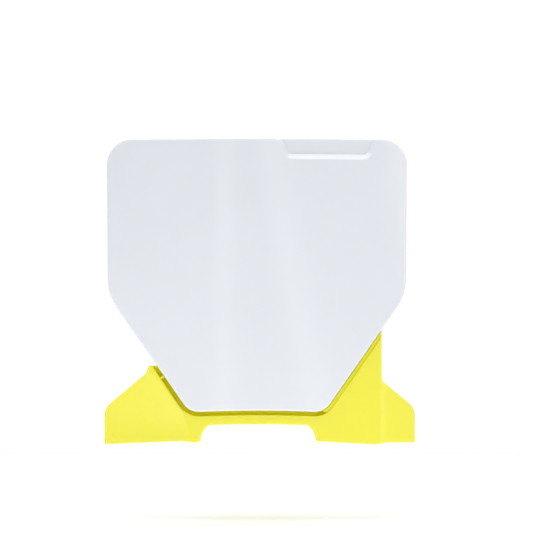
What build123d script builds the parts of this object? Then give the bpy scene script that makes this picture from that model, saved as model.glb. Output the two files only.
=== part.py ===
from build123d import *
from math import hypot, radians, sqrt, tan
import os

# Racing number board: a bowed white plate screwed from behind to a folded yellow lower shroud.
# The board faces -Y, +X is to the right as the number is read, and +Z is up. The origin is the
# centre of the lower bolt hole, on the face that sits on the clamp. Sizes are in millimetres.

# Number board, front view
board_width = 240.0  # across the upper corners
board_height = 217.0  # lower corners to top edge
board_taper = 0.9  # each side leans in by this much, down to the shoulder
board_shoulder = 93.5  # shoulder above the lower corners
board_foot_width = 107.0  # between the lower corners, before they are rounded
board_foot_arch = 1.4  # rise of the lower edge at its middle
board_top_radius = 20.0
board_shoulder_radius = 42.0
board_foot_radius = 14.5

# Number board, section
crown_radius_top = 330.0  # bow of the front at the top edge
crown_radius_foot = 450.0  # flatter bow at the lower edge
wall = 2.2  # moulded wall of both pieces
board_edge_chamfer = 1.2  # bevelled edge round the front
lip_depth = 10.0  # front of the board to the back of its lip

# Cable relief sunk into the top edge
relief_left = 25.5  # left wall at the floor of the relief, from the middle of the board
relief_right = 87.7
relief_splay = 5.0  # each side wall leans out by this much at the top edge
relief_drop = 12.0  # floor of the relief, down from the top edge
relief_depth = 3.2
relief_ledge = 4.2  # run of the sloping wall round the relief
relief_corner = 5.0
relief_sill = 0.2  # upright step left at the foot of the slope

# Pegs for the handlebar strap, on the back of the board
peg_spacing = 90.0
peg_drop = 32.0  # below the top edge
peg_diameter = 7.0
peg_cap_diameter = 12.0
peg_cap_height = 2.5
peg_cap_chamfer = 0.7
peg_reach = 19.0  # front of the board to the end of the peg

# Lower shroud, front view (rises are measured from the board's lower corners, and drops from
# the lower edge at the arch)
left_overhang = 2.6  # left tip past the board's side
right_overhang = 7.0
wing_rise = 1.8  # upper corner of each tip
wing_slope = 40.1  # degrees, upper edge of each wing
wing_corner_radius = 14.0
left_end_rise = 36.6  # upper end of the left fold
left_end_margin = 7.0  # how far that end reaches past the board's edge
left_end_step = 2.2  # sideways step from that end down to the wing
left_fold_margin = 9.5  # left fold past the board's edge, at the upper end
left_bend_drop = 9.0  # the left fold turns upright here, below the board's lower corners
left_bend_radius = 100.0
left_root_width = 9.4  # lower edge from the arch to the left fold
right_fold_inset = 20.4  # right fold inside the board's side
right_end_rise = 72.0  # upper end of the right panel, behind the board
notch_radius = 2.5  # where an upper wing edge runs into its fold
foot_drop = 23.2  # the lower edge itself, below the board's lower corners
left_fold_drop = 1.3
left_tip_drop = 4.1
right_fold_drop = 3.0
right_root_drop = 1.6
right_tip_drop = 2.6
root_run = 4.5  # the lower edge steps this far each side of a fold
root_radius = 12.0

# Arch under the bridge
arch_centre = 1.1
arch_foot_width = 91.6
arch_top_width = 78.4
arch_crown = 0.9
bridge_height = 7.0  # groove to arch, at the ends of the arch

# Lower shroud, section
panel_setback = 4.0  # panel behind the front of the board
wing_tip_depth = 38.0  # wing tips behind the front of the board
fold_radius = 10.0
return_depth = 6.0  # depth of the edge turned back round the shroud
groove_width = 3.5  # shadow gap round the lower edge of the board
flange_width = 16.0  # flange behind the board, in from its edge
seat_clearance = 0.2  # board lip to flange
ledge_drop = 1.6  # step in the groove along the right edge, below the panel
ledge_clearance = 0.4
nib_run = 34.0  # locating nib in the groove, along the left edge from the lower corner
nib_width = 2.0
nib_drop = 0.8

# Mounting tongue
mount_reach = 40.0  # front of the board to the bolt
board_foot = 9.0  # board's lower corners above the bolt's seat
bolt_hole_diameter = 6.6
seat_ring_diameter = 16.0
seat_ring_height = 1.5
tongue_width = 30.0
tongue_thickness = 4.0
gusset_thickness = 2.5
gusset_height = 13.0
gusset_length = 18.0

# Screws and their bosses
boss_diameter = 9.0
boss_inset = 8.5  # in from the edge of the board
foot_boss_spacing = 68.0
left_boss_run = 30.0  # along the board's slanting edge, from its lower corner
right_boss_run = 60.0
pad_diameter = 11.0
pad_height = 1.8
screw_hole_diameter = 4.5
pilot_diameter = 3.4
pilot_floor = 1.0  # plastic left between the pilot hole and the skin
screw_core_diameter = 3.2
screw_length = 9.5
screw_point = 1.5
screw_tip_diameter = 1.1
screw_head_diameter = 8.0
screw_head_height = 2.6
screw_head_chamfer = 1.2

# Places worked out from the sizes above
board_half = board_width / 2
shoulder_half = board_half - board_taper
foot_half = board_foot_width / 2
board_top = board_foot + board_height
shoulder_height = board_foot + board_shoulder
edge_length = hypot(shoulder_half - foot_half, board_shoulder)
edge_out = (shoulder_half - foot_half) / edge_length  # slanting edge, sideways per unit of run
edge_up = board_shoulder / edge_length
front = -mount_reach
floor_depth = lip_depth + seat_clearance
crown_slope = (crown_radius_foot - crown_radius_top) / board_height
crown_axis = Axis((0, front + crown_radius_foot, board_foot), (0, -crown_slope, 1))
left_tip = -board_half - left_overhang
right_tip = board_half + right_overhang
arch_left = arch_centre - arch_foot_width / 2
arch_right = arch_centre + arch_foot_width / 2
left_fold = arch_left - left_root_width  # at the lower edge
right_fold = board_half - right_fold_inset
arch_top = board_foot - groove_width - bridge_height
lower_edge = board_foot - foot_drop
fold_spare = fold_radius  # the folded front runs past the shroud by this much
reach = 2 * (mount_reach + wing_tip_depth)  # carries a front-view outline right through
low_limit = lower_edge - 2 * foot_drop
high_limit = board_top + 2 * relief_drop


def crown_radius(z):
    """Radius of the bow, from the front to its axis, at one height."""
    return crown_radius_foot - crown_slope * (z - board_foot)


def bow(x, z, setback):
    """Y of the bowed front, moved back by setback, at a place in the front view."""
    radius = crown_radius(z) - setback
    squash = 1 - crown_slope**2
    return front + setback + (radius - sqrt(radius**2 - squash * x**2)) / squash


def on_panel(x, z):
    """Point of the shroud's panel at a place in the front view."""
    return Vector(x, bow(x, z, panel_setback), z)


def pad_face(x, z):
    """Y of the flat face that a screw head sits on."""
    return bow(x, z, floor_depth + wall) + pad_height


def board_edge(rise):
    """Middle of the board to its slanting edge, at a height above the lower corners."""
    return foot_half + rise * edge_out / edge_up


def along_edge(run, inset, side):
    """Place beside the slanting edge: run from the lower corner, inset towards the middle."""
    x = foot_half + run * edge_out - inset * edge_up
    z = board_foot + run * edge_up + inset * edge_out
    return side * x, z


def across_edge(run, side):
    """Plane square to the slanting edge, facing up along it."""
    x, z = along_edge(run, 0, side)
    return Plane(origin=(x, 0, z), x_dir=(0, 1, 0), z_dir=(side * edge_out, 0, edge_up))


screw_places = [
    (-foot_boss_spacing / 2, board_foot + boss_inset),
    (foot_boss_spacing / 2, board_foot + boss_inset),
    along_edge(left_boss_run, boss_inset, -1),
    along_edge(right_boss_run, boss_inset, 1),
]
peg_places = [
    (-peg_spacing / 2, board_top - peg_drop),
    (peg_spacing / 2, board_top - peg_drop),
]


# Outlines in the front view


def board_outline(grow=0.0):
    """The board, grown or shrunk all round."""
    left_foot = (-foot_half, board_foot)
    right_foot = (foot_half, board_foot)
    left_shoulder = (-shoulder_half, shoulder_height)
    right_shoulder = (shoulder_half, shoulder_height)
    with BuildSketch(Plane.XZ) as outline:
        with BuildLine():
            ThreePointArc(left_foot, (0, board_foot + board_foot_arch), right_foot)
            Polyline(
                right_foot,
                right_shoulder,
                (board_half, board_top),
                (-board_half, board_top),
                left_shoulder,
                left_foot,
            )
        make_face()
        fillet(outline.vertices().group_by(Axis.Y)[-1], board_top_radius)
        for corner in (left_shoulder, right_shoulder):
            fillet(outline.vertices().sort_by_distance(corner)[0], board_shoulder_radius)
        for corner in (left_foot, right_foot):
            fillet(outline.vertices().sort_by_distance(corner)[0], board_foot_radius)
        if grow:
            offset(amount=grow)
    return outline.sketch


def relief_outline(grow=0.0):
    """Floor of the cable relief, carried up past the top edge."""
    low = board_top - relief_drop
    high = board_top + relief_drop
    with BuildSketch(Plane.XZ) as outline:
        with BuildLine():
            Polyline(
                (relief_left - 2 * relief_splay, high),
                (relief_left, low),
                (relief_right, low),
                (relief_right + 2 * relief_splay, high),
                close=True,
            )
        make_face()
        fillet(outline.vertices().group_by(Axis.Y)[0], relief_corner)
        if grow:
            offset(amount=grow)
    return outline.sketch


def shroud_outline(grow=0.0):
    """The shroud before its arch and window are cut, grown or shrunk all round."""
    wing_top = board_foot + wing_rise
    climb = tan(radians(wing_slope))
    left_end = board_foot + left_end_rise
    left_end_x = -board_edge(left_end_rise) - left_end_margin
    left_notch_x = left_end_x - left_end_step
    right_end = board_foot + right_end_rise
    left_corner = (left_tip, wing_top)
    left_notch = (left_notch_x, wing_top + (left_notch_x - left_tip) * climb)
    right_corner = (right_tip, wing_top)
    right_notch = (right_fold, wing_top + (right_tip - right_fold) * climb)
    roots = [
        (left_fold - root_run, lower_edge),
        (left_fold + root_run, lower_edge - left_fold_drop),
        (right_fold - root_run, lower_edge - right_fold_drop),
        (right_fold + root_run, lower_edge - right_root_drop),
    ]
    with BuildSketch(Plane.XZ) as outline:
        with BuildLine():
            Polyline(
                (left_tip, lower_edge - left_tip_drop),
                *roots[:2],
                (arch_left, lower_edge),
                (arch_right, lower_edge),
                *roots[2:],
                (right_tip, lower_edge - right_tip_drop),
                right_corner,
                right_notch,
                (right_fold, right_end),
                (0, right_end),
                (0, left_end),
                (left_end_x, left_end),
                left_notch,
                left_corner,
                close=True,
            )
        make_face()
        for corner in (left_corner, right_corner):
            fillet(outline.vertices().sort_by_distance(corner)[0], wing_corner_radius)
        for corner in roots:
            fillet(outline.vertices().sort_by_distance(corner)[0], root_radius)
        for corner in (left_notch, right_notch, (left_end_x, left_end)):
            fillet(outline.vertices().sort_by_distance(corner)[0], notch_radius)
        if grow:
            offset(amount=grow)
    return outline.sketch


def arch_outline():
    """The arch under the bridge, open at its lower edge."""
    left_top = (arch_centre - arch_top_width / 2, arch_top)
    right_top = (arch_centre + arch_top_width / 2, arch_top)
    with BuildSketch(Plane.XZ) as outline:
        with BuildLine():
            TangentArc((arch_left, lower_edge), left_top, tangent=(0, 1))
            ThreePointArc(left_top, (arch_centre, arch_top + arch_crown), right_top)
            TangentArc((arch_right, lower_edge), right_top, tangent=(0, 1))
            Polyline(
                (arch_left, lower_edge),
                (arch_left, low_limit),
                (arch_right, low_limit),
                (arch_right, lower_edge),
            )
        make_face()
    return outline.sketch


def through(outline):
    """A front-view outline carried straight through from front to back."""
    with BuildPart() as bar:
        extrude(outline, amount=reach, both=True)
    return bar.part


# Curved and folded fronts


def behind_front(setback):
    """Everything behind the bowed front, moved back by setback."""
    with BuildPart() as block:
        with BuildSketch(Plane.YZ):
            with BuildLine():
                Polyline(
                    (front + setback, low_limit),
                    (front + setback, high_limit),
                    (front + crown_radius(high_limit), high_limit),
                    (front + crown_radius(low_limit), low_limit),
                    close=True,
                )
            make_face()
        revolve(axis=crown_axis)
    return block.part


def wing_space(fold, tip, setback):
    """Space in front of a wing that runs straight from its fold to its tip, grown by setback."""
    run = tip - fold[0]
    section = Plane(origin=fold[0], x_dir=(0, 0, 1), z_dir=run if run.X < 0 else -run)
    places = [section.to_local_coords(point) for point in fold]
    line = [Vector(place.X, place.Y) for place in places]
    low_end = line[0] + (line[0] - line[1]).normalized() * reach
    high_end = line[-1] + (line[-1] - line[-2]).normalized() * reach
    with BuildPart() as space:
        with BuildSketch(section) as outline:
            with BuildLine():
                Polyline(
                    low_end,
                    *line[1:-1],
                    high_end,
                    (high_end.X, -2 * reach),
                    (low_end.X, -2 * reach),
                    close=True,
                )
            make_face()
            for bend in line[1:-1]:
                fillet(outline.vertices().sort_by_distance(bend)[0], left_bend_radius)
            if setback:
                offset(amount=setback)
        extrude(amount=reach, both=True)
    return space.part


left_fold_line = [
    on_panel(left_fold, lower_edge - left_fold_drop),
    on_panel(left_fold, board_foot - left_bend_drop),
    on_panel(-board_edge(left_end_rise) - left_fold_margin, board_foot + left_end_rise),
]
right_fold_line = [
    on_panel(right_fold, lower_edge - right_fold_drop),
    on_panel(right_fold, board_foot + right_end_rise),
]
left_wing_tip = Vector(left_tip, front + wing_tip_depth, lower_edge - left_tip_drop)
right_wing_tip = Vector(right_tip, front + wing_tip_depth, lower_edge - right_tip_drop)


def runs_up(edge):
    """Whether an edge climbs more than it crosses, in the front view."""
    along = edge.tangent_at(0.5)
    return abs(along.Z) > abs(along.X)


def behind_panels(setback):
    """Everything behind the shroud's bowed panel and its wings, moved back by setback."""
    left = left_tip - fold_spare
    right = right_tip + fold_spare
    low = lower_edge - left_tip_drop - fold_spare
    left_high = board_foot + left_end_rise + fold_spare
    right_high = board_foot + right_end_rise + fold_spare
    with BuildPart() as block:
        with BuildSketch(Plane.XZ):
            with BuildLine():
                Polyline(
                    (left, low),
                    (right, low),
                    (right, right_high),
                    (0, right_high),
                    (left, left_high),
                    close=True,
                )
            make_face()
        extrude(amount=reach, both=True)
        add(behind_front(panel_setback + setback), mode=Mode.INTERSECT)
        for fold, tip in ((left_fold_line, left_wing_tip), (right_fold_line, right_wing_tip)):
            add(wing_space(fold, tip, setback), mode=Mode.SUBTRACT)
        panel = block.faces().filter_by(GeomType.CONE).sort_by(Axis.Y)[0]
        fillet(panel.edges().filter_by(runs_up), fold_radius - setback)
    return block.part


def groove_fill(drop):
    """The groove beside the board filled up to a step below the panel."""
    with BuildPart() as fill:
        extrude(board_outline(groove_width + wall / 2), amount=reach, both=True)
        add(through(board_outline(ledge_clearance)), mode=Mode.SUBTRACT)
        add(behind_panels(drop), mode=Mode.INTERSECT)
        add(behind_front(floor_depth + wall / 2), mode=Mode.SUBTRACT)
        add(through(shroud_outline()), mode=Mode.INTERSECT)
    return fill.part


def in_relief(place):
    """Whether a place on the front is at the rim of the cable relief."""
    return abs(place.X) < board_half and board_foot < place.Z < relief_high - relief_sill


# Front of the board with the cable relief sunk into it, sloped down to its floor. It starts a
# little proud of the board, so that only the relief cuts into it.
relief_skim = wall / 4
relief_high = board_top + relief_drop
relief_wall = relief_depth + relief_skim
relief_run = relief_ledge * relief_wall / relief_depth
with BuildPart() as relief_pocket:
    extrude(relief_outline(), amount=reach, both=True)
    add(behind_front(relief_depth), mode=Mode.SUBTRACT)
with BuildPart() as relief_form:
    with BuildSketch(Plane.XZ):
        with Locations((0, board_foot + board_height / 2)):
            Rectangle(2 * board_width, 2 * (relief_high - board_foot - board_height / 2))
    extrude(amount=reach, both=True)
    add(behind_front(-relief_skim), mode=Mode.INTERSECT)
    add(relief_pocket.part, mode=Mode.SUBTRACT)
    relief_front = relief_form.faces().filter_by(GeomType.CONE).sort_by(SortBy.AREA)[-1]
    relief_rim = relief_front.edges().filter_by(lambda edge: in_relief(edge.center()))
    chamfer(relief_rim, relief_run, relief_wall - relief_sill, reference=relief_front)

# Hollow back of the board, kept off the relief by one wall
with BuildPart() as relief_backing:
    extrude(relief_outline(relief_ledge + wall / 2), amount=reach, both=True)
    add(behind_front(relief_depth + wall), mode=Mode.SUBTRACT)
with BuildPart() as board_hollow:
    extrude(board_outline(-wall), amount=reach, both=True)
    add(behind_front(wall), mode=Mode.INTERSECT)
    add(relief_backing.part, mode=Mode.SUBTRACT)

# Screw bosses and their pilot holes, squared off level with the lip
with BuildPart() as bosses:
    with BuildSketch(Plane.XZ):
        with Locations(*screw_places):
            Circle(boss_diameter / 2)
    extrude(amount=reach, both=True)
    add(behind_front(wall / 2), mode=Mode.INTERSECT)
    add(behind_front(lip_depth), mode=Mode.SUBTRACT)
with BuildPart() as pilots:
    with BuildSketch(Plane.XZ):
        with Locations(*screw_places):
            Circle(pilot_diameter / 2)
    extrude(amount=reach, both=True)
    add(behind_front(wall + pilot_floor), mode=Mode.INTERSECT)

# Capped pegs for the strap
with BuildPart() as pegs:
    for x, z in peg_places:
        end = Plane.XZ.offset(-bow(x, z, peg_reach))
        with BuildSketch(end):
            with Locations((x, z)):
                Circle(peg_diameter / 2)
        extrude(amount=peg_reach)
        with BuildSketch(end):
            with Locations((x, z)):
                Circle(peg_cap_diameter / 2)
        extrude(amount=peg_cap_height)
    rims = pegs.edges().filter_by(GeomType.CIRCLE).group_by(lambda edge: edge.radius)
    chamfer(rims[-1], peg_cap_chamfer)
    add(behind_front(wall / 2), mode=Mode.INTERSECT)

with BuildPart() as number_board:
    extrude(board_outline(), amount=reach, both=True)
    add(behind_front(0), mode=Mode.INTERSECT)
    chamfer(number_board.faces().sort_by(Axis.Y)[0].edges(), board_edge_chamfer)
    add(relief_form.part, mode=Mode.INTERSECT)
    add(board_hollow.part, mode=Mode.SUBTRACT)
    add(behind_front(lip_depth), mode=Mode.SUBTRACT)
    add(bosses.part)
    add(pegs.part)
    add(pilots.part, mode=Mode.SUBTRACT)

# Turned-back tray of the shroud
with BuildPart() as shroud_hollow:
    extrude(shroud_outline(-wall), amount=reach, both=True)
    add(behind_panels(wall), mode=Mode.INTERSECT)

# Wall and flange of the rebate that takes the board, before the board's space is cut out
with BuildPart() as rebate_block:
    extrude(board_outline(groove_width + wall), amount=reach, both=True)
    add(behind_panels(wall / 2), mode=Mode.INTERSECT)
    add(behind_front(floor_depth + wall), mode=Mode.SUBTRACT)
    add(through(shroud_outline()), mode=Mode.INTERSECT)
with BuildPart() as rebate:
    extrude(board_outline(groove_width), amount=reach, both=True)
    add(behind_front(floor_depth), mode=Mode.SUBTRACT)

# Step in the groove along the right edge, and the locating nib on the left
with BuildPart() as ledge:
    add(groove_fill(ledge_drop))
    split(bisect_by=across_edge(0, 1), keep=Keep.TOP)
with BuildPart() as nib:
    add(groove_fill(nib_drop))
    split(bisect_by=across_edge(nib_run, -1), keep=Keep.TOP)
    split(bisect_by=across_edge(nib_run + nib_width, -1), keep=Keep.BOTTOM)

# Flat pads under the screw heads
with BuildPart() as pads:
    for x, z in screw_places:
        with BuildSketch(Plane.XZ.offset(-pad_face(x, z))):
            with Locations((x, z)):
                Circle(pad_diameter / 2)
        extrude(amount=floor_depth)
    add(behind_front(floor_depth + wall / 2), mode=Mode.INTERSECT)

# Tongue that lies on the clamp, with its bolt hole, seat ring and gussets
tongue_root = front + panel_setback + wall / 2
tongue_top = seat_ring_height + tongue_thickness
flange_back = front + floor_depth + wall / 2
with BuildPart() as tongue:
    with BuildSketch(Plane.XY.offset(seat_ring_height)):
        with BuildLine():
            ThreePointArc((-tongue_width / 2, 0), (0, tongue_width / 2), (tongue_width / 2, 0))
            Polyline(
                (tongue_width / 2, 0),
                (tongue_width / 2, tongue_root),
                (-tongue_width / 2, tongue_root),
                (-tongue_width / 2, 0),
            )
        make_face()
    extrude(amount=tongue_thickness)
    with BuildSketch():
        Circle(seat_ring_diameter / 2)
    extrude(amount=tongue_top)
    for side in (-1, 1):
        with BuildSketch(Plane.YZ.offset(side * (tongue_width - gusset_thickness) / 2)):
            with BuildLine():
                Polyline(
                    (flange_back, tongue_top - wall / 2),
                    (flange_back, tongue_top + gusset_height),
                    (flange_back + gusset_length, tongue_top),
                    (flange_back + gusset_length, tongue_top - wall / 2),
                    close=True,
                )
            make_face()
        extrude(amount=gusset_thickness / 2, both=True)

with BuildPart() as lower_shroud:
    extrude(shroud_outline(), amount=reach, both=True)
    add(behind_panels(0), mode=Mode.INTERSECT)
    add(shroud_hollow.part, mode=Mode.SUBTRACT)
    add(behind_panels(return_depth), mode=Mode.SUBTRACT)
    add(rebate_block.part)
    add(rebate.part, mode=Mode.SUBTRACT)
    add(through(board_outline(-flange_width)), mode=Mode.SUBTRACT)
    add(through(arch_outline()), mode=Mode.SUBTRACT)
    add(ledge.part)
    add(nib.part)
    add(pads.part)
    add(tongue.part)
    with Locations(Plane.XY.offset(tongue_top)):
        Hole(bolt_hole_diameter / 2, depth=tongue_top)
    with BuildSketch(Plane.XZ):
        with Locations(*screw_places):
            Circle(screw_hole_diameter / 2)
    extrude(amount=reach, both=True, mode=Mode.SUBTRACT)

# One self-tapping screw, standing on its point, and the four in their places
with BuildPart() as screw:
    with BuildSketch(Plane.XZ) as profile:
        with BuildLine():
            Polyline(
                (0, -screw_length),
                (screw_tip_diameter / 2, -screw_length),
                (screw_core_diameter / 2, screw_point - screw_length),
                (screw_core_diameter / 2, 0),
                (screw_head_diameter / 2, 0),
                (screw_head_diameter / 2, screw_head_height),
                (0, screw_head_height),
                close=True,
            )
        make_face()
        chamfer(profile.vertices().group_by(Axis.Y)[-1].sort_by(Axis.X)[-1], screw_head_chamfer)
    revolve(axis=Axis.Z)
with BuildPart() as board_screws:
    for x, z in screw_places:
        with Locations(Plane(origin=(x, pad_face(x, z), z), x_dir=(1, 0, 0), z_dir=(0, 1, 0))):
            add(screw.part)

os.makedirs("parts", exist_ok=True)
number_board.part.label = "number_board"
lower_shroud.part.label = "lower_shroud"
board_screws.part.label = "board_screws"
export_step(number_board.part, "parts/number_board.step")
export_step(lower_shroud.part, "parts/lower_shroud.step")
export_step(board_screws.part, "parts/board_screws.step")
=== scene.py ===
from math import cos, degrees, pi, radians, sqrt

import bmesh
import bpy
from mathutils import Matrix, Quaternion, Vector
from mathutils.kdtree import KDTree


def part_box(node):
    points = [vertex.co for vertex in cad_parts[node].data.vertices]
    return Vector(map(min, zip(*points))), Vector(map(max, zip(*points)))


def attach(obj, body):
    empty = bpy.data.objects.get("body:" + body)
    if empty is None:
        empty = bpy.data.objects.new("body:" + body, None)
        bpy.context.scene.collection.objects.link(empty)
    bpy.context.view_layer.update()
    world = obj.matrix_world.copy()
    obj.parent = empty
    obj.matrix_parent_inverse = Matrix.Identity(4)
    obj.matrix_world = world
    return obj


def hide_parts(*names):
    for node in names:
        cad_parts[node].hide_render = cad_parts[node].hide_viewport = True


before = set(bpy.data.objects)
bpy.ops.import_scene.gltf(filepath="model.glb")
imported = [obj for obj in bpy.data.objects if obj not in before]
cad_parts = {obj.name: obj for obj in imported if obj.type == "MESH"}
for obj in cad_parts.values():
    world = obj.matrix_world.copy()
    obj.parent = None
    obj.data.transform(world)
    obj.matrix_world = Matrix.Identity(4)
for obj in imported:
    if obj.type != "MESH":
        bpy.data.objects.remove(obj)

bl_info = {
    "name": "Racing number board",
    "version": (1, 0, 0),
    "blender": (4, 5, 0),
    "location": "View3D > Sidebar > Number board",
    "description": "Finishes the moulded number board, its lower shroud and its screws",
    "category": "Object",
}

# The board faces -Y, +X is to the right as the number is read, and +Z is up. Sizes are in metres.
MM = 0.001
BOARD_LOW, BOARD_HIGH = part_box("number_board")
SHROUD_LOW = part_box("lower_shroud")[0]


def linear(code):
    """The linear colour, with alpha, of an sRGB hex code."""
    parts = [int(code[i:i + 2], 16) / 255 for i in (1, 3, 5)]
    return [c / 12.92 if c < 0.04045 else ((c + 0.055) / 1.055) ** 2.4 for c in parts] + [1.0]


def add_node(tree, kind, inputs=None, **settings):
    """A new node with its settings, and with its inputs set or linked."""
    node = tree.nodes.new(kind)
    for name, value in settings.items():
        setattr(node, name, value)
    for key, value in (inputs or {}).items():
        if isinstance(value, bpy.types.NodeSocket):
            tree.links.new(value, node.inputs[key])
        else:
            node.inputs[key].default_value = value
    return node


# Properties


class BoardLook(bpy.types.PropertyGroup):
    """Form and finish of the white board."""

    bow_top: bpy.props.FloatProperty(
        name="Bow at the top", description="Radius of the front at the board's top edge",
        default=330 * MM, unit="LENGTH")
    bow_foot: bpy.props.FloatProperty(
        name="Bow at the foot", description="Radius of the front at the board's lower corners",
        default=450 * MM, unit="LENGTH")
    foot: bpy.props.FloatProperty(
        name="Foot", description="Height of the board's lower corners",
        default=9 * MM, unit="LENGTH")
    wall: bpy.props.FloatProperty(
        name="Wall", description="Thickness of the moulded skin",
        default=2.2 * MM, unit="LENGTH")
    lip: bpy.props.FloatProperty(
        name="Lip", description="Front of the board to the back of its lip",
        default=10 * MM, unit="LENGTH")
    relief: bpy.props.FloatProperty(
        name="Relief", description="Depth of the cable relief in the top edge",
        default=3.2 * MM, unit="LENGTH")
    bevel: bpy.props.FloatProperty(
        name="Bevel", description="Width of the CAD bevel round the front, partly filled out here",
        default=1.2 * MM, unit="LENGTH")
    corner: bpy.props.FloatProperty(
        name="Corner", description="Length over which the bevel comes back",
        default=8 * MM, unit="LENGTH")
    left_lip: bpy.props.FloatProperty(
        name="Left lip", description="Height up to which the left diagonal keeps its bevel",
        default=58 * MM, unit="LENGTH")
    right_lip: bpy.props.FloatProperty(
        name="Right lip", description="Height up to which the right diagonal keeps its bevel",
        default=80 * MM, unit="LENGTH")
    rim: bpy.props.FloatProperty(
        name="Rim radius", description="Rounding of the board's moulded edges",
        default=0.35 * MM, unit="LENGTH")
    pitch: bpy.props.FloatProperty(
        name="Mesh pitch", description="Spacing of the lines the skin is cut along",
        default=3 * MM, unit="LENGTH")
    colour: bpy.props.FloatVectorProperty(
        name="Colour", description="Colour of the white polypropylene",
        subtype="COLOR", size=4, min=0, max=1, default=linear("#DFE2E7"))
    roughness: bpy.props.FloatProperty(
        name="Roughness", description="Mean roughness of the white polypropylene",
        subtype="FACTOR", min=0, max=1, default=0.11)
    shine: bpy.props.FloatProperty(
        name="Shine", description="Specular level of the white polypropylene",
        subtype="FACTOR", min=0, max=1, default=0.5)
    # Painted shade: how strongly narrow gaps lose the white reflection and take a more saturated
    # colour.
    painted_gap_shade: bpy.props.FloatProperty(
        name="Deepening",
        description="How much deeper the white polypropylene looks in narrow gaps",
        subtype="FACTOR", min=0, max=1, default=0)


class ShroudLook(bpy.types.PropertyGroup):
    """Form and finish of the yellow shroud."""

    setback: bpy.props.FloatProperty(
        name="Setback", description="Panel behind the front of the board",
        default=4 * MM, unit="LENGTH")
    turned_back: bpy.props.FloatProperty(
        name="Turned-back edge", description="Depth of the edge turned back round the shroud",
        default=6 * MM, unit="LENGTH")
    rim: bpy.props.FloatProperty(
        name="Rim radius", description="Rounding of the shroud's moulded edges",
        default=0.7 * MM, unit="LENGTH")
    roll: bpy.props.FloatProperty(
        name="Fold roll", description="How far from a fold its wing begins to roll towards it",
        default=9 * MM, unit="LENGTH")
    pitch: bpy.props.FloatProperty(
        name="Mesh pitch", description="Spacing of the lines the skin is cut along",
        default=3 * MM, unit="LENGTH")
    colour: bpy.props.FloatVectorProperty(
        name="Colour", description="Colour of the yellow polypropylene",
        subtype="COLOR", size=4, min=0, max=1, default=linear("#EAE547"))
    roughness: bpy.props.FloatProperty(
        name="Roughness", description="Mean roughness of the yellow polypropylene",
        subtype="FACTOR", min=0, max=1, default=0.22)
    shine: bpy.props.FloatProperty(
        name="Shine", description="Specular level of the yellow polypropylene",
        subtype="FACTOR", min=0, max=1, default=0.45)
    # Painted shade: how strongly narrow gaps lose the white reflection and take a more saturated
    # colour.
    painted_gap_shade: bpy.props.FloatProperty(
        name="Deepening",
        description="How much deeper the yellow polypropylene looks in narrow gaps",
        subtype="FACTOR", min=0, max=1, default=1)


class ScrewLook(bpy.types.PropertyGroup):
    """Form and finish of the self-tapping screws."""

    head_diameter: bpy.props.FloatProperty(
        name="Head diameter", description="Across the pan head",
        default=8 * MM, unit="LENGTH")
    head_height: bpy.props.FloatProperty(
        name="Head height", description="Seat to the top of the head",
        default=2.6 * MM, unit="LENGTH")
    head_dome: bpy.props.FloatProperty(
        name="Head dome", description="Fall of the head's top from its middle to its rim",
        default=1.1 * MM, unit="LENGTH")
    recess_length: bpy.props.FloatProperty(
        name="Recess length", description="Across the cross recess",
        default=4.4 * MM, unit="LENGTH")
    recess_width: bpy.props.FloatProperty(
        name="Recess width", description="Width of the cross recess's slots",
        default=0.9 * MM, unit="LENGTH")
    recess_depth: bpy.props.FloatProperty(
        name="Recess depth", description="Depth of the cross recess",
        default=1.5 * MM, unit="LENGTH")
    core_diameter: bpy.props.FloatProperty(
        name="Core diameter", description="Screw without its thread",
        default=3.2 * MM, unit="LENGTH")
    length: bpy.props.FloatProperty(
        name="Length", description="Seat to the tip",
        default=9.5 * MM, unit="LENGTH")
    point: bpy.props.FloatProperty(
        name="Point", description="Length of the tapered tip",
        default=1.5 * MM, unit="LENGTH")
    tip_diameter: bpy.props.FloatProperty(
        name="Tip diameter", description="End of the tapered tip",
        default=1.1 * MM, unit="LENGTH")
    thread_height: bpy.props.FloatProperty(
        name="Thread height", description="How far the thread stands out of the core",
        default=0.3 * MM, unit="LENGTH")
    thread_pitch: bpy.props.FloatProperty(
        name="Thread pitch", description="One turn of the thread to the next",
        default=1.4 * MM, unit="LENGTH")
    seed: bpy.props.IntProperty(
        name="Seed", description="Picks how far each screw is turned", default=4)
    colour: bpy.props.FloatVectorProperty(
        name="Colour", description="Colour of the zinc plating",
        subtype="COLOR", size=4, min=0, max=1, default=linear("#CDD0D4"))


class StageLook(bpy.types.PropertyGroup):
    """Camera, floor and light."""

    distance: bpy.props.FloatProperty(
        name="Camera distance", description="Camera to the front of the board",
        default=2.5, unit="LENGTH")
    aim_x: bpy.props.FloatProperty(
        name="Aim across", description="Sideways place of the picture's centre",
        default=8.48 * MM, unit="LENGTH")
    aim_z: bpy.props.FloatProperty(
        name="Aim height", description="Height of the picture's centre",
        default=123.9 * MM, unit="LENGTH")
    lens: bpy.props.FloatProperty(
        name="Lens", description="Focal length in millimetres",
        default=212.3, subtype="DISTANCE_CAMERA")
    floor_gap: bpy.props.FloatProperty(
        name="Floor gap", description="Floor below the lowest edge of the shroud",
        default=60 * MM, unit="LENGTH")
    floor_size: bpy.props.FloatProperty(
        name="Floor size", description="Side of the square floor",
        default=1.8, unit="LENGTH")
    surround: bpy.props.FloatProperty(
        name="Surround", description="Strength of the light from the white surround",
        min=0, default=0.56)


# Moulded skins

# Marks the faces of a rounded edge.
RIM = "rim"

# Points closer than this are one point, and faces flatter than this are one face.
WELD = 0.001 * MM
FLAT = radians(0.3)

# A cut passes through a point this near to it.
CUT_SNAP = 0.02 * MM

# A point this near to the bow, on a face that leans from it by no more than this, belongs to it.
NEAR_BOW = 0.1 * MM
ALONG_BOW = radians(5)

# Edges of the board and of the shroud that are sharper than these are rounded.
BOARD_EDGE = radians(30)
SHROUD_EDGE = radians(50)

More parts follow.
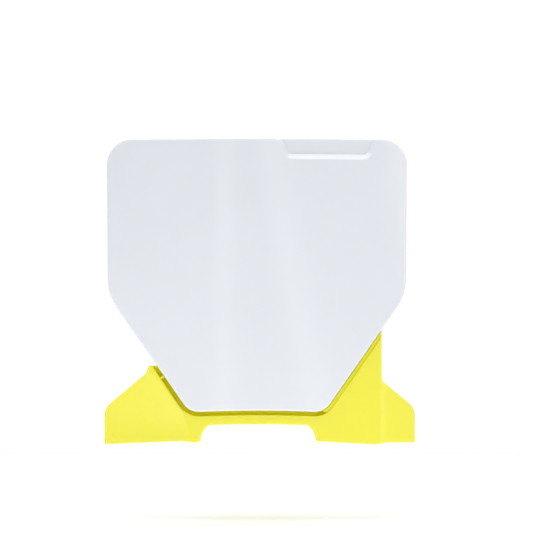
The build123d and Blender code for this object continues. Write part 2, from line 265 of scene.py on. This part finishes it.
# Shading breaks at edges sharper than this.
CREASE = radians(32)

# The CAD bevel leans from the front by an angle between these, in degrees.
BEVEL_LEAN = (30, 60)

# How steeply an edge faces up or down where its bevel begins to be filled out and where it is full.
TOP_FADE = (0.5, 0.9)
DIAGONAL_FADE = (0.1, 0.5)

# Lean from the bowed front, in degrees, where a fold's strip, a wing and a turned-back side begin.
STRIP_LEAN, WING_LEAN, SIDE_LEAN = 3, 10, 45

# A wing's roll takes in the faces around it that turn away by less than this.
ROLL_TURN = radians(35)


def cad_skin(node):
    """A CAD node's surface as one closed skin, its flat stretches joined into single faces."""
    skin = bmesh.new()
    skin.from_mesh(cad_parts[node].data)
    bmesh.ops.remove_doubles(skin, verts=skin.verts, dist=WELD)
    bmesh.ops.dissolve_limit(skin, angle_limit=FLAT, verts=skin.verts, edges=skin.edges)
    return skin


def round_edges(skin, radius, least_angle):
    """Rounds the skin's outer edges that are sharper than an angle, and keeps its height."""
    rim = skin.faces.layers.int.new(RIM)
    top = max(vert.co.z for vert in skin.verts)
    sharp = [e for e in skin.edges if e.is_convex and e.calc_face_angle(0) > least_angle]
    rounded = bmesh.ops.bevel(
        skin, geom=sharp, offset=radius, offset_type="OFFSET", segments=3, profile=0.5,
        affect="EDGES", clamp_overlap=False, miter_outer="SHARP")
    for face in rounded["faces"]:
        face[rim] = 1
    for vert in skin.verts:
        vert.co.z = min(vert.co.z, top)


def rule_lines(skin, pitch):
    """Cuts the skin along evenly spaced upright and level planes."""
    bmesh.ops.triangulate(skin, faces=[f for f in skin.faces if len(f.verts) > 4])
    for axis in (0, 2):
        places = [v.co[axis] for v in skin.verts]
        step = min(places) + pitch
        while step < max(places):
            origin = Vector()
            origin[axis] = step
            normal = Vector()
            normal[axis] = 1
            geom = skin.verts[:] + skin.edges[:] + skin.faces[:]
            bmesh.ops.bisect_plane(
                skin, geom=geom, plane_co=origin, plane_no=normal, dist=CUT_SNAP)
            step += pitch


def bow(board, x, z, setback=0):
    """Depth and direction of the bowed front, or of a face that follows it some way behind."""
    slope = (board.bow_foot - board.bow_top) / (BOARD_HIGH.z - board.foot)
    squash = 1 - slope**2
    radius = board.bow_foot - slope * (z - board.foot) - setback
    inner = sqrt(radius**2 - squash * x**2)
    fall = (radius - inner) / squash
    return BOARD_LOW.y + setback + fall, Vector((x / inner, -1, slope * fall / inner)).normalized()


def settle(skin, board, setbacks):
    """Moves the cut skin's points from the flat facets on to the true bow."""
    skin.normal_update()
    for vert in skin.verts:
        for setback in setbacks:
            depth, out = bow(board, vert.co.x, vert.co.z, setback)
            if abs(depth - vert.co.y) > NEAR_BOW:
                continue
            if any(abs(f.normal.dot(out)) > cos(ALONG_BOW) for f in vert.link_faces):
                vert.co.y = depth
            break


def ramp(value, start, end):
    """How far a value has come from a start to an end, as a share from 0 to 1."""
    return min(1, max(0, (value - start) / (end - start)))


def square_edges(skin, board):
    """Fills out the bevel on the board's top and the diagonals above the shroud, with soft ends."""
    skin.normal_update()
    moves = {}
    for face in skin.faces:
        middle = face.calc_center_median()
        panel = bow(board, middle.x, middle.z)[1]
        if not BEVEL_LEAN[0] < degrees(face.normal.angle(panel)) < BEVEL_LEAN[1]:
            continue
        side = face.normal - panel * face.normal.dot(panel)
        side.y = 0
        side.normalize()
        for vert in face.verts:
            if abs(vert.co.y - bow(board, vert.co.x, vert.co.z)[0]) > NEAR_BOW:
                continue
            if side.z > 0:
                near_top = vert.co.z > BOARD_HIGH.z - board.corner
                share = ramp(side.z, *TOP_FADE) if near_top else 0
            else:
                lip = board.left_lip if vert.co.x < 0 else board.right_lip
                above_lip = ramp(vert.co.z, lip, lip + board.corner)
                share = min(ramp(-side.z, *DIAGONAL_FADE), above_lip)
            moves.setdefault(vert, []).append(side * share * board.bevel)
    for vert, sides in moves.items():
        vert.co += sum(sides, Vector()) / len(sides)
        vert.co.z = min(vert.co.z, BOARD_HIGH.z)
        vert.co.y = bow(board, vert.co.x, vert.co.z)[0]
    skin.normal_update()


def roll_folds(mesh, board, reach):
    """Rolls the wings' normals softly up to each fold, where the panel's flat edge begins."""
    rim = mesh.attributes[RIM].data
    broad = [f for f in mesh.polygons if not rim[f.index].value]
    near = KDTree(len(broad))
    for i, face in enumerate(broad):
        near.insert(face.center, i)
    near.balance()
    corners = [c.vector.copy() for c in mesh.corner_normals]
    rolled = list(corners)
    shared = {}
    for face in broad:
        panel = bow(board, face.center.x, face.center.z)[1]
        lean = degrees(face.normal.angle(panel))
        if lean > 90:
            panel, lean = -panel, 180 - lean
        if not STRIP_LEAN < lean < SIDE_LEAN:
            continue
        for loop in face.loop_indices:
            vert = mesh.loops[loop].vertex_index
            if lean < WING_LEAN:
                rolled[loop] = panel
                continue
            total = Vector()
            for _, i, distance in near.find_range(mesh.vertices[vert].co, reach):
                other = broad[i]
                if other.normal.dot(corners[loop]) > cos(ROLL_TURN):
                    total += other.normal * other.area * (1 - (distance / reach) ** 2)
            rolled[loop] = total.normalized()
            shared[vert, *(round(c, 2) for c in corners[loop])] = rolled[loop]
    for face in mesh.polygons:
        if rim[face.index].value:
            for loop in face.loop_indices:
                key = (mesh.loops[loop].vertex_index, *(round(c, 2) for c in corners[loop]))
                rolled[loop] = shared.get(key, corners[loop])
    mesh.normals_split_custom_set(rolled)


def finished(mesh, name, node, material):
    """A smooth piece that rides on the part and stands for its CAD node."""
    mesh.polygons.foreach_set("use_smooth", [True] * len(mesh.polygons))
    mesh.set_sharp_from_angle(angle=CREASE)
    mesh.materials.clear()
    mesh.materials.append(material)
    piece = bpy.data.objects.new(name, mesh)
    bpy.context.scene.collection.objects.link(piece)
    weighted = piece.modifiers.new("Flat faces stay flat", "WEIGHTED_NORMAL")
    weighted.keep_sharp = True
    flat = piece.evaluated_get(bpy.context.evaluated_depsgraph_get())
    piece.data = bpy.data.meshes.new_from_object(flat)
    piece.modifiers.clear()
    piece.data.name = name
    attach(piece, "root")
    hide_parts(node)
    return piece


def skin_mesh(skin, name):
    """The finished skin as a mesh."""
    mesh = bpy.data.meshes.new(name)
    skin.to_mesh(mesh)
    skin.free()
    return mesh


# Materials

# Noise keeps mostly to this part of its range from 0 to 1.
NOISE_RANGE = {"From Min": 0.3, "From Max": 0.7}

# How much rougher or smoother handled plastic is than its mean.
WIPED = 0.03


def moulded_polypropylene(name, colour, roughness, shine, painted_gap_shade):
    """Moulded polypropylene: colour that light sinks into, a soft shine, a faint ripple, painted
    gap shade.
    """
    material = bpy.data.materials.new(name)
    material.use_nodes = True
    tree = material.node_tree
    shader = tree.nodes["Principled BSDF"]
    place = add_node(tree, "ShaderNodeTexCoord").outputs["Object"]

    # The melt flows out in broad soft patches of a slightly lighter tone.
    flow = add_node(tree, "ShaderNodeTexNoise", {
        "Vector": place, "Scale": 1 / (70 * MM), "Detail": 1.0})
    tone = add_node(tree, "ShaderNodeMapRange", {
        "Value": flow.outputs["Fac"], **NOISE_RANGE, "To Min": 0.992, "To Max": 1.004})
    tinted = add_node(tree, "ShaderNodeHueSaturation", {"Color": colour, "Value": tone.outputs[0]})

    # Handling and wiping leave the shine a little uneven.
    wiped = add_node(tree, "ShaderNodeTexNoise", {
        "Vector": place, "Scale": 1 / (9 * MM), "Detail": 3.0})
    uneven = add_node(tree, "ShaderNodeMapRange", {
        "Value": wiped.outputs["Fac"], **NOISE_RANGE,
        "To Min": roughness - WIPED, "To Max": roughness + WIPED})

    # The polished mould leaves a ripple that only bends the highlights.
    ripple = add_node(tree, "ShaderNodeTexNoise", {
        "Vector": place, "Scale": 1 / (2.5 * MM), "Detail": 2.0})
    bump = add_node(tree, "ShaderNodeBump", {
        "Strength": 0.05, "Distance": 0.02 * MM, "Height": ripple.outputs["Fac"]})

    # Painted shade: in narrow gaps, found by ambient occlusion, the white reflection is taken away
    # and the colour is made more saturated and lighter, standing in for the shade and the bounced
    # light there.
    gap = add_node(tree, "ShaderNodeAmbientOcclusion", {"Distance": 7 * MM}, samples=8)
    depth = add_node(tree, "ShaderNodeMapRange", {
        "Value": gap.outputs["AO"], "From Min": 0.75, "From Max": 0.3,
        "To Min": 0.0, "To Max": painted_gap_shade})
    painted_gap_colour = add_node(tree, "ShaderNodeHueSaturation", {
        "Color": tinted.outputs["Color"], "Hue": 0.49, "Saturation": 1.2, "Value": 1.2,
        "Fac": depth.outputs[0]})
    painted_gap_shine = add_node(tree, "ShaderNodeMapRange", {
        "Value": depth.outputs[0], "To Min": shine, "To Max": 0.0})

    tree.links.new(painted_gap_colour.outputs["Color"], shader.inputs["Base Color"])
    tree.links.new(uneven.outputs[0], shader.inputs["Roughness"])
    tree.links.new(painted_gap_shine.outputs[0], shader.inputs["Specular IOR Level"])
    tree.links.new(bump.outputs[0], shader.inputs["Normal"])
    shader.inputs["IOR"].default_value = 1.49

    # Light spreads a little way through the plastic, and its own colour spreads furthest.
    shader.inputs["Subsurface Weight"].default_value = 0.7
    shader.inputs["Subsurface Radius"].default_value = colour[:3]
    shader.inputs["Subsurface Scale"].default_value = 1.5 * MM
    return material


def zinc_plated_steel(colour):
    """Bright zinc plating on turned steel: a cool mirror, clouded in spots and finely ringed."""
    material = bpy.data.materials.new("Zinc-plated steel")
    material.use_nodes = True
    tree = material.node_tree
    shader = tree.nodes["Principled BSDF"]
    place = add_node(tree, "ShaderNodeTexCoord").outputs["Object"]
    cloud = add_node(tree, "ShaderNodeTexNoise", {
        "Vector": place, "Scale": 1 / (1.5 * MM), "Detail": 4.0})
    tone = add_node(tree, "ShaderNodeMapRange", {
        "Value": cloud.outputs["Fac"], "To Min": 0.85, "To Max": 1.05})
    tinted = add_node(tree, "ShaderNodeHueSaturation", {"Color": colour, "Value": tone.outputs[0]})
    shine = add_node(tree, "ShaderNodeMapRange", {
        "Value": cloud.outputs["Fac"], "To Min": 0.2, "To Max": 0.42})

    # The rings follow the distance from each screw's own axis.
    ring = add_node(tree, "ShaderNodeAttribute", attribute_name=TURNING)
    turn = add_node(tree, "ShaderNodeMath", {
        0: ring.outputs["Fac"], 1: 2 * pi / (0.25 * MM)}, operation="MULTIPLY")
    wave = add_node(tree, "ShaderNodeMath", {0: turn.outputs[0]}, operation="SINE")
    bump = add_node(tree, "ShaderNodeBump", {
        "Strength": 0.1, "Distance": 0.01 * MM, "Height": wave.outputs[0]})

    tree.links.new(tinted.outputs["Color"], shader.inputs["Base Color"])
    tree.links.new(shine.outputs[0], shader.inputs["Roughness"])
    tree.links.new(bump.outputs[0], shader.inputs["Normal"])
    shader.inputs["Metallic"].default_value = 1.0
    return material


# Screws

# Holds each point's distance from its own screw's axis.
TURNING = "turning_radius"

# The inputs of the screws' nodes, and the settings that they take
SCREW_INPUTS = {
    "Head diameter": "head_diameter",
    "Head height": "head_height",
    "Head dome": "head_dome",
    "Recess length": "recess_length",
    "Recess width": "recess_width",
    "Recess depth": "recess_depth",
    "Core diameter": "core_diameter",
    "Length": "length",
    "Point": "point",
    "Tip diameter": "tip_diameter",
    "Thread height": "thread_height",
    "Thread pitch": "thread_pitch",
}

# What follows from the screw's inputs: a name, a size, what is done to it, and a size or a number.
# Heights count from the seat, with the tip below it. A cutter is centred on the head's top, so half
# of it cuts, and the second slot is a hair shallower, so that the two cuts share no face.
SCREW_SUMS = (
    ("Head radius", "Head diameter", "MULTIPLY", 0.5),
    ("Head middle", "Head height", "MULTIPLY", 0.5),
    ("Dome share", "Radius", "DIVIDE", "Head radius"),
    ("Dome curve", "Dome share", "POWER", 2),
    ("Dome drop", "Head dome", "MULTIPLY", -1),
    ("Dome fall", "Dome curve", "MULTIPLY", "Dome drop"),
    ("First cutter", "Recess depth", "MULTIPLY", 2),
    ("Second cutter", "Recess depth", "MULTIPLY", 1.94),
    ("Core radius", "Core diameter", "MULTIPLY", 0.5),
    ("Tip radius", "Tip diameter", "MULTIPLY", 0.5),
    ("Shank", "Length", "SUBTRACT", "Point"),
    ("Shank middle", "Shank", "MULTIPLY", -0.5),
    ("Shank foot", "Shank", "MULTIPLY", -1),
    ("Tip foot", "Length", "MULTIPLY", -1),
    ("Turns", "Shank", "DIVIDE", "Thread pitch"),
)


def screw_seats(head_height):
    """Centre of the seat under each screw head, found from the CAD screws."""
    skin = cad_skin("board_screws")
    seats = []
    waiting = set(skin.verts)
    while waiting:
        island = []
        edge_of = [waiting.pop()]
        while edge_of:
            vert = edge_of.pop()
            island.append(vert.co.copy())
            for edge in vert.link_edges:
                other = edge.other_vert(vert)
                if other in waiting:
                    waiting.remove(other)
                    edge_of.append(other)
        low = [min(co[i] for co in island) for i in range(3)]
        high = [max(co[i] for co in island) for i in range(3)]
        seats.append(((low[0] + high[0]) / 2, high[1] - head_height, (low[2] + high[2]) / 2))
    skin.free()
    return sorted(seats)


def raised(tree, geometry, height):
    """Geometry moved up along the screw's axis."""
    lift = add_node(tree, "ShaderNodeCombineXYZ", {"Z": height})
    moved = add_node(tree, "GeometryNodeTransform", {
        "Geometry": geometry, "Translation": lift.outputs[0]})
    return moved.outputs[0]


def screw_tree():
    """Nodes that put a pan-head self-tapping screw on each seat, turned at random."""
    tree = bpy.data.node_groups.new("Self-tapping screws", "GeometryNodeTree")
    tree.interface.new_socket("Seats", in_out="INPUT", socket_type="NodeSocketGeometry")
    for name in SCREW_INPUTS:
        tree.interface.new_socket(name, in_out="INPUT", socket_type="NodeSocketFloat")
    tree.interface.new_socket("Seed", in_out="INPUT", socket_type="NodeSocketInt")
    tree.interface.new_socket("Material", in_out="INPUT", socket_type="NodeSocketMaterial")
    tree.interface.new_socket("Screws", in_out="OUTPUT", socket_type="NodeSocketGeometry")
    given = add_node(tree, "NodeGroupInput").outputs

    # Distance from the screw's axis, and the sizes that follow from the inputs
    place = add_node(tree, "GeometryNodeInputPosition").outputs[0]
    level = add_node(tree, "ShaderNodeVectorMath", {0: place, 1: (1, 1, 0)}, operation="MULTIPLY")
    away = add_node(tree, "ShaderNodeVectorMath", {0: level.outputs[0]}, operation="LENGTH")
    sizes = {name: given[name] for name in SCREW_INPUTS}
    sizes["Radius"] = away.outputs["Value"]
    for name, first, operation, second in SCREW_SUMS:
        sizes[name] = add_node(tree, "ShaderNodeMath", {
            0: sizes[first], 1: sizes.get(second, second)}, operation=operation).outputs[0]

    # Pan head, its top domed towards the middle
    disc = add_node(tree, "GeometryNodeMeshCylinder", {
        "Vertices": 48, "Fill Segments": 6,
        "Radius": sizes["Head radius"], "Depth": sizes["Head height"]})
    fall = add_node(tree, "ShaderNodeCombineXYZ", {"Z": sizes["Dome fall"]})
    dome = add_node(tree, "GeometryNodeSetPosition", {
        "Geometry": disc.outputs["Mesh"], "Selection": disc.outputs["Top"],
        "Offset": fall.outputs[0]})
    head = raised(tree, dome.outputs[0], sizes["Head middle"])

    # Cross recess
    for length, width, depth in (
        ("Recess length", "Recess width", "First cutter"),
        ("Recess width", "Recess length", "Second cutter"),
    ):
        size = add_node(tree, "ShaderNodeCombineXYZ", {
            "X": sizes[length], "Y": sizes[width], "Z": sizes[depth]})
        cutter = add_node(tree, "GeometryNodeMeshCube", {"Size": size.outputs[0]})
        slot = raised(tree, cutter.outputs["Mesh"], sizes["Head height"])
        cut = add_node(tree, "GeometryNodeMeshBoolean", {
            "Mesh 1": head, "Mesh 2": slot}, operation="DIFFERENCE")
        head = cut.outputs["Mesh"]

    # Core, tapered tip and thread
    core = add_node(tree, "GeometryNodeMeshCylinder", {
        "Vertices": 32, "Radius": sizes["Core radius"], "Depth": sizes["Shank"]})
    tip = add_node(tree, "GeometryNodeMeshCone", {
        "Vertices": 32, "Radius Top": sizes["Core radius"], "Radius Bottom": sizes["Tip radius"],
        "Depth": sizes["Point"]})
    helix = add_node(tree, "GeometryNodeCurveSpiral", {
        "Resolution": 24, "Rotations": sizes["Turns"], "Height": sizes["Shank"],
        "Start Radius": sizes["Core radius"], "End Radius": sizes["Core radius"]})
    ridge = add_node(tree, "GeometryNodeCurvePrimitiveCircle", {
        "Resolution": 3, "Radius": sizes["Thread height"]})
    thread = add_node(tree, "GeometryNodeCurveToMesh", {
        "Curve": helix.outputs[0], "Profile Curve": ridge.outputs[0], "Fill Caps": True})
    screw = add_node(tree, "GeometryNodeJoinGeometry")
    for piece in (
        head,
        raised(tree, core.outputs["Mesh"], sizes["Shank middle"]),
        raised(tree, tip.outputs["Mesh"], sizes["Tip foot"]),
        raised(tree, thread.outputs[0], sizes["Shank foot"]),
    ):
        tree.links.new(piece, screw.inputs[0])
    ringed = add_node(tree, "GeometryNodeStoreNamedAttribute", {
        "Geometry": screw.outputs[0], "Name": TURNING, "Value": sizes["Radius"]})

    # One screw on each seat, its head to the rear
    placed = add_node(tree, "GeometryNodeInstanceOnPoints", {
        "Points": given["Seats"], "Instance": ringed.outputs[0], "Rotation": (radians(-90), 0, 0)})
    chance = add_node(tree, "FunctionNodeRandomValue", {3: pi / 2, "Seed": given["Seed"]})
    turn = add_node(tree, "FunctionNodeAxisAngleToRotation", {"Angle": chance.outputs[1]})
    turned = add_node(tree, "GeometryNodeRotateInstances", {
        "Instances": placed.outputs[0], "Rotation": turn.outputs[0]})
    real = add_node(tree, "GeometryNodeRealizeInstances", {"Geometry": turned.outputs[0]})
    plated = add_node(tree, "GeometryNodeSetMaterial", {
        "Geometry": real.outputs[0], "Material": given["Material"]})
    add_node(tree, "NodeGroupOutput", {"Screws": plated.outputs[0]})
    return tree


# Operators


class MakeBoard(bpy.types.Operator):
    """Makes the white number board's smooth skin and its polypropylene"""

    bl_idname = "number_board.make_board"
    bl_label = "Number board"

    def execute(self, context):
        look = context.scene.board_look
        skin = cad_skin("number_board")
        square_edges(skin, look)
        round_edges(skin, look.rim, BOARD_EDGE)
        rule_lines(skin, look.pitch)
        settle(skin, look, (0, look.wall, look.relief, look.relief + look.wall, look.lip))
        plastic = moulded_polypropylene(
            "White polypropylene", look.colour, look.roughness, look.shine, look.painted_gap_shade)
        name = "white_number_board"
        finished(skin_mesh(skin, name), name, "number_board", plastic)
        return {"FINISHED"}


class MakeShroud(bpy.types.Operator):
    """Makes the yellow lower shroud with its rounded edges and its polypropylene"""

    bl_idname = "number_board.make_shroud"
    bl_label = "Lower shroud"

    def execute(self, context):
        look = context.scene.shroud_look
        board = context.scene.board_look
        skin = cad_skin("lower_shroud")
        round_edges(skin, look.rim, SHROUD_EDGE)
        rule_lines(skin, look.pitch)
        settle(skin, board, [look.setback + depth for depth in (0, board.wall, look.turned_back)])
        plastic = moulded_polypropylene(
            "Yellow polypropylene", look.colour, look.roughness, look.shine, look.painted_gap_shade)
        name = "yellow_lower_shroud"
        piece = finished(skin_mesh(skin, name), name, "lower_shroud", plastic)
        roll_folds(piece.data, board, look.roll)
        return {"FINISHED"}


class MakeScrews(bpy.types.Operator):
    """Makes the four self-tapping screws that hold the board to the shroud"""

    bl_idname = "number_board.make_screws"
    bl_label = "Screws"

    def execute(self, context):
        look = context.scene.screw_look
        steel = zinc_plated_steel(look.colour)
        seats = bpy.data.meshes.new("screw_seats")
        seats.from_pydata(screw_seats(look.head_height), [], [])
        carrier = bpy.data.objects.new("screw_seats", seats)
        context.scene.collection.objects.link(carrier)
        modifier = carrier.modifiers.new("Screws", "NODES")
        tree = screw_tree()
        modifier.node_group = tree
        values = {name: getattr(look, key) for name, key in SCREW_INPUTS.items()}
        values.update({"Seed": look.seed, "Material": steel})
        for socket in tree.interface.items_tree:
            if socket.name in values:
                modifier[socket.identifier] = values[socket.name]
        solid = carrier.evaluated_get(context.evaluated_depsgraph_get())
        mesh = bpy.data.meshes.new_from_object(solid)
        bpy.data.objects.remove(carrier)
        name = "self_tapping_screws"
        mesh.name = name
        finished(mesh, name, "board_screws", steel)
        return {"FINISHED"}


class SetStage(bpy.types.Operator):
    """Sets up the camera, the pale floor, the lamps and the white surround"""

    bl_idname = "number_board.set_stage"
    bl_label = "Stage"

    # The strips stand beside the camera and draw the faint long highlights down the bowed front.
    # The table lamps lie on the floor and light the lower edges and the left fold. The tilt turns
    # a lamp about its own axis, in degrees, and the power is in watts.
    lamps = {
        "Top lamp": dict(
            place=(0, -0.1, 1.7), aim=(0, -0.1, 0),
            width=2.0, height=2.0, tilt=0, power=30),
        "Right lamp": dict(
            place=(1.74, -1.18, 0.15), aim=(0.1, 0, 0.05),
            width=1.2, height=1.2, tilt=0, power=5.5),
        "Table lamp": dict(
            place=(0, -0.17, -0.075), aim=(0, -0.17, 1),
            width=0.9, height=0.3, tilt=0, power=0.3),
        "Left table lamp": dict(
            place=(-0.3, -0.36, -0.075), aim=(-0.3, -0.36, 1),
            width=0.2, height=0.45, tilt=40, power=0.28),
        "Left strip": dict(
            place=(-0.37, -2.35, 0.13), aim=(0, 0, 0.13),
            width=0.2, height=0.9, tilt=12, power=0.52),
        "Right strip": dict(
            place=(0.38, -2.35, 0.13), aim=(0, 0, 0.13),
            width=0.2, height=0.9, tilt=45, power=0.52),
    }

    def execute(self, context):
        look = context.scene.stage_look
        scene = context.scene
        scene.view_settings.view_transform = "Standard"
        camera = bpy.data.objects.new("Camera", bpy.data.cameras.new("Camera"))
        camera.data.lens = look.lens
        camera.data.sensor_width = 36
        camera.location = (look.aim_x, BOARD_LOW.y - look.distance, look.aim_z)
        camera.rotation_euler = (radians(90), 0, 0)
        scene.collection.objects.link(camera)
        scene.camera = camera
        self.make_floor(scene, look.floor_size / 2, SHROUD_LOW.z - look.floor_gap)
        self.make_world(scene, look.surround)
        for name, settings in self.lamps.items():
            self.add_lamp(scene, name, **settings)
        return {"FINISHED"}

    def make_floor(self, scene, half, height):
        """A pale paper floor."""
        mesh = bpy.data.meshes.new("Floor")
        corners = [(x * half, y * half, height) for x, y in ((-1, -1), (1, -1), (1, 1), (-1, 1))]
        mesh.from_pydata(corners, [], [(0, 1, 2, 3)])
        material = bpy.data.materials.new("White paper")
        material.use_nodes = True
        tree = material.node_tree
        tree.nodes.clear()
        diffuse = add_node(tree, "ShaderNodeBsdfDiffuse", {"Color": linear("#F8F8F8")})
        add_node(tree, "ShaderNodeOutputMaterial", {"Surface": diffuse.outputs[0]})
        mesh.materials.append(material)
        floor = bpy.data.objects.new("Floor", mesh)
        scene.collection.objects.link(floor)

    def make_world(self, scene, strength):
        """A surround that is white to look at and lights the object softly."""
        world = bpy.data.worlds.new("White surround")
        world.use_nodes = True
        scene.world = world
        tree = world.node_tree
        tree.nodes.clear()
        path = add_node(tree, "ShaderNodeLightPath").outputs
        seen = path["Is Camera Ray"]
        for ray in ("Is Glossy Ray", "Is Transmission Ray"):
            either = add_node(tree, "ShaderNodeMath", {0: seen, 1: path[ray]}, operation="MAXIMUM")
            seen = either.outputs[0]
        light = add_node(tree, "ShaderNodeMapRange", {
            "Value": seen, "To Min": strength, "To Max": 1.0})
        sky = add_node(tree, "ShaderNodeBackground", {
            "Color": (1, 1, 1, 1), "Strength": light.outputs[0]})
        add_node(tree, "ShaderNodeOutputWorld", {"Surface": sky.outputs[0]})

    def add_lamp(self, scene, name, place, aim, width, height, tilt, power):
        """One soft rectangular lamp, turned to its aim."""
        data = bpy.data.lights.new(name, "AREA")
        data.shape = "RECTANGLE"
        data.size = width
        data.size_y = height
        data.energy = power
        lamp = bpy.data.objects.new(name, data)
        lamp.location = place
        turn = (Vector(aim) - Vector(place)).to_track_quat("-Z", "Y")
        lamp.rotation_euler = (turn @ Quaternion((0, 0, 1), radians(tilt))).to_euler()
        lamp.visible_camera = False
        scene.collection.objects.link(lamp)


class NumberBoardPanel(bpy.types.Panel):
    """Lists the pieces and their settings"""

    bl_idname = "VIEW3D_PT_number_board"
    bl_label = "Racing number board"
    bl_space_type = "VIEW_3D"
    bl_region_type = "UI"
    bl_category = "Number board"

    def draw(self, context):
        for operator, look in zip(OPERATORS, LOOKS):
            box = self.layout.box()
            box.operator(operator.bl_idname)
            for name in LOOKS[look].__annotations__:
                box.prop(getattr(context.scene, look), name)


LOOKS = {
    "board_look": BoardLook,
    "shroud_look": ShroudLook,
    "screw_look": ScrewLook,
    "stage_look": StageLook,
}
OPERATORS = (MakeBoard, MakeShroud, MakeScrews, SetStage)


def register():
    """Makes the classes known and gives the scene their settings."""
    for kind in (*LOOKS.values(), *OPERATORS, NumberBoardPanel):
        bpy.utils.register_class(kind)
    for name, kind in LOOKS.items():
        setattr(bpy.types.Scene, name, bpy.props.PointerProperty(type=kind))


def unregister():
    """Takes the settings and the classes away again."""
    for name in LOOKS:
        delattr(bpy.types.Scene, name)
    for kind in (NumberBoardPanel, *reversed(OPERATORS), *reversed(LOOKS.values())):
        bpy.utils.unregister_class(kind)


def main():
    """Builds every piece and the stage."""
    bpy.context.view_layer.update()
    register()
    bpy.ops.number_board.make_board()
    bpy.ops.number_board.make_shroud()
    bpy.ops.number_board.make_screws()
    bpy.ops.number_board.set_stage()


if __name__ == "__main__":
    main()
